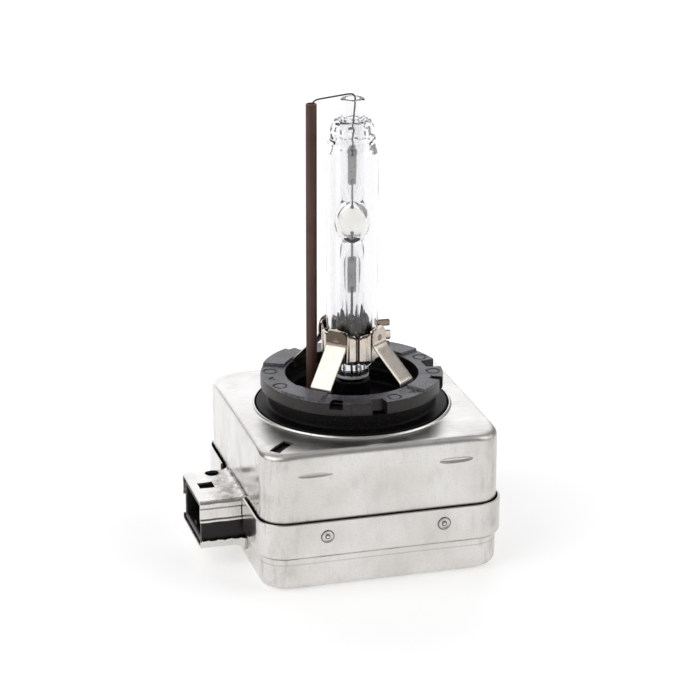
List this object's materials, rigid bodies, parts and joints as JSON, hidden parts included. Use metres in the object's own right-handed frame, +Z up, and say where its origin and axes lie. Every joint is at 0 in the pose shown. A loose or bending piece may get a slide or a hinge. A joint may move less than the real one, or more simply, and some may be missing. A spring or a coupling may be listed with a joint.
{
  "type": "headlight bulb",
  "caption": "Gas-discharge headlight bulb: glass burner in a clipped holder on a flange ring, over a square metal igniter case with a side connector.",
  "frame": {"origin": "centre of the flat underside of the case, on the bulb axis", "axes": "+Z up along the bulb, -Y the front of the case with the two stop pressings, -X the connector side"},
  "size_m": [0.0508, 0.0434, 0.0806],
  "materials": {
    "case_steel": "bright tin-plated sheet, satin with faint drawing marks",
    "holder_steel": "bright annealed strip with a warm tint",
    "black_plastic": "fine spark-eroded texture",
    "ring_plastic": "dark grey glass-filled plastic, fine speckle",
    "envelope_glass": "clear",
    "burner_glass": "clear quartz, pale salts in the arc bulb",
    "foil_metal": "grey molybdenum foil",
    "tungsten": "grey",
    "wire_metal": "dark grey drawn wire",
    "ceramic": "matte brown fired ceramic",
    "tinned_metal": "tin plated",
    "tray_plastic": "natural",
    "board_laminate": "green solder mask",
    "ferrite": "sintered",
    "copper_wire": "enamelled copper",
    "gap_ceramic": "white ceramic",
    "capacitor_case": "moulded box",
    "resistor_body": "coated"
  },
  "bodies": {
    "root": {"upper_can": "case_steel", "lower_pan": "case_steel", "connector_socket": "black_plastic", "contact_pin_1": "tinned_metal", "contact_pin_2": "tinned_metal", "contact_pin_3": "tinned_metal", "contact_pin_4": "tinned_metal", "housing_cover": "black_plastic", "base_ring": "ring_plastic", "lamp_seat": "black_plastic", "outer_envelope": "envelope_glass", "arc_tube": "burner_glass", "foil_upper": "foil_metal", "foil_lower": "foil_metal", "electrode_upper": "tungsten", "electrode_lower": "tungsten", "lead_lower": "wire_metal", "return_wire": "wire_metal", "ceramic_tube": "ceramic", "holder_collar": "holder_steel", "holder_leg_1": "holder_steel", "holder_leg_2": "holder_steel", "holder_leg_3": "holder_steel", "holder_leg_4": "holder_steel", "insulator_tray": "tray_plastic", "circuit_board": "board_laminate", "transformer_core": "ferrite", "transformer_bobbin": "tray_plastic", "secondary_winding": "copper_wire", "primary_winding": "copper_wire", "hv_terminal": "tinned_metal", "return_terminal": "tinned_metal", "spark_gap_barrel": "gap_ceramic", "spark_gap_cap_1": "tinned_metal", "spark_gap_cap_2": "tinned_metal", "capacitor": "capacitor_case", "bleeder_resistor": "resistor_body", "choke_core": "ferrite", "choke_winding": "copper_wire"}
  },
  "joints": []
}
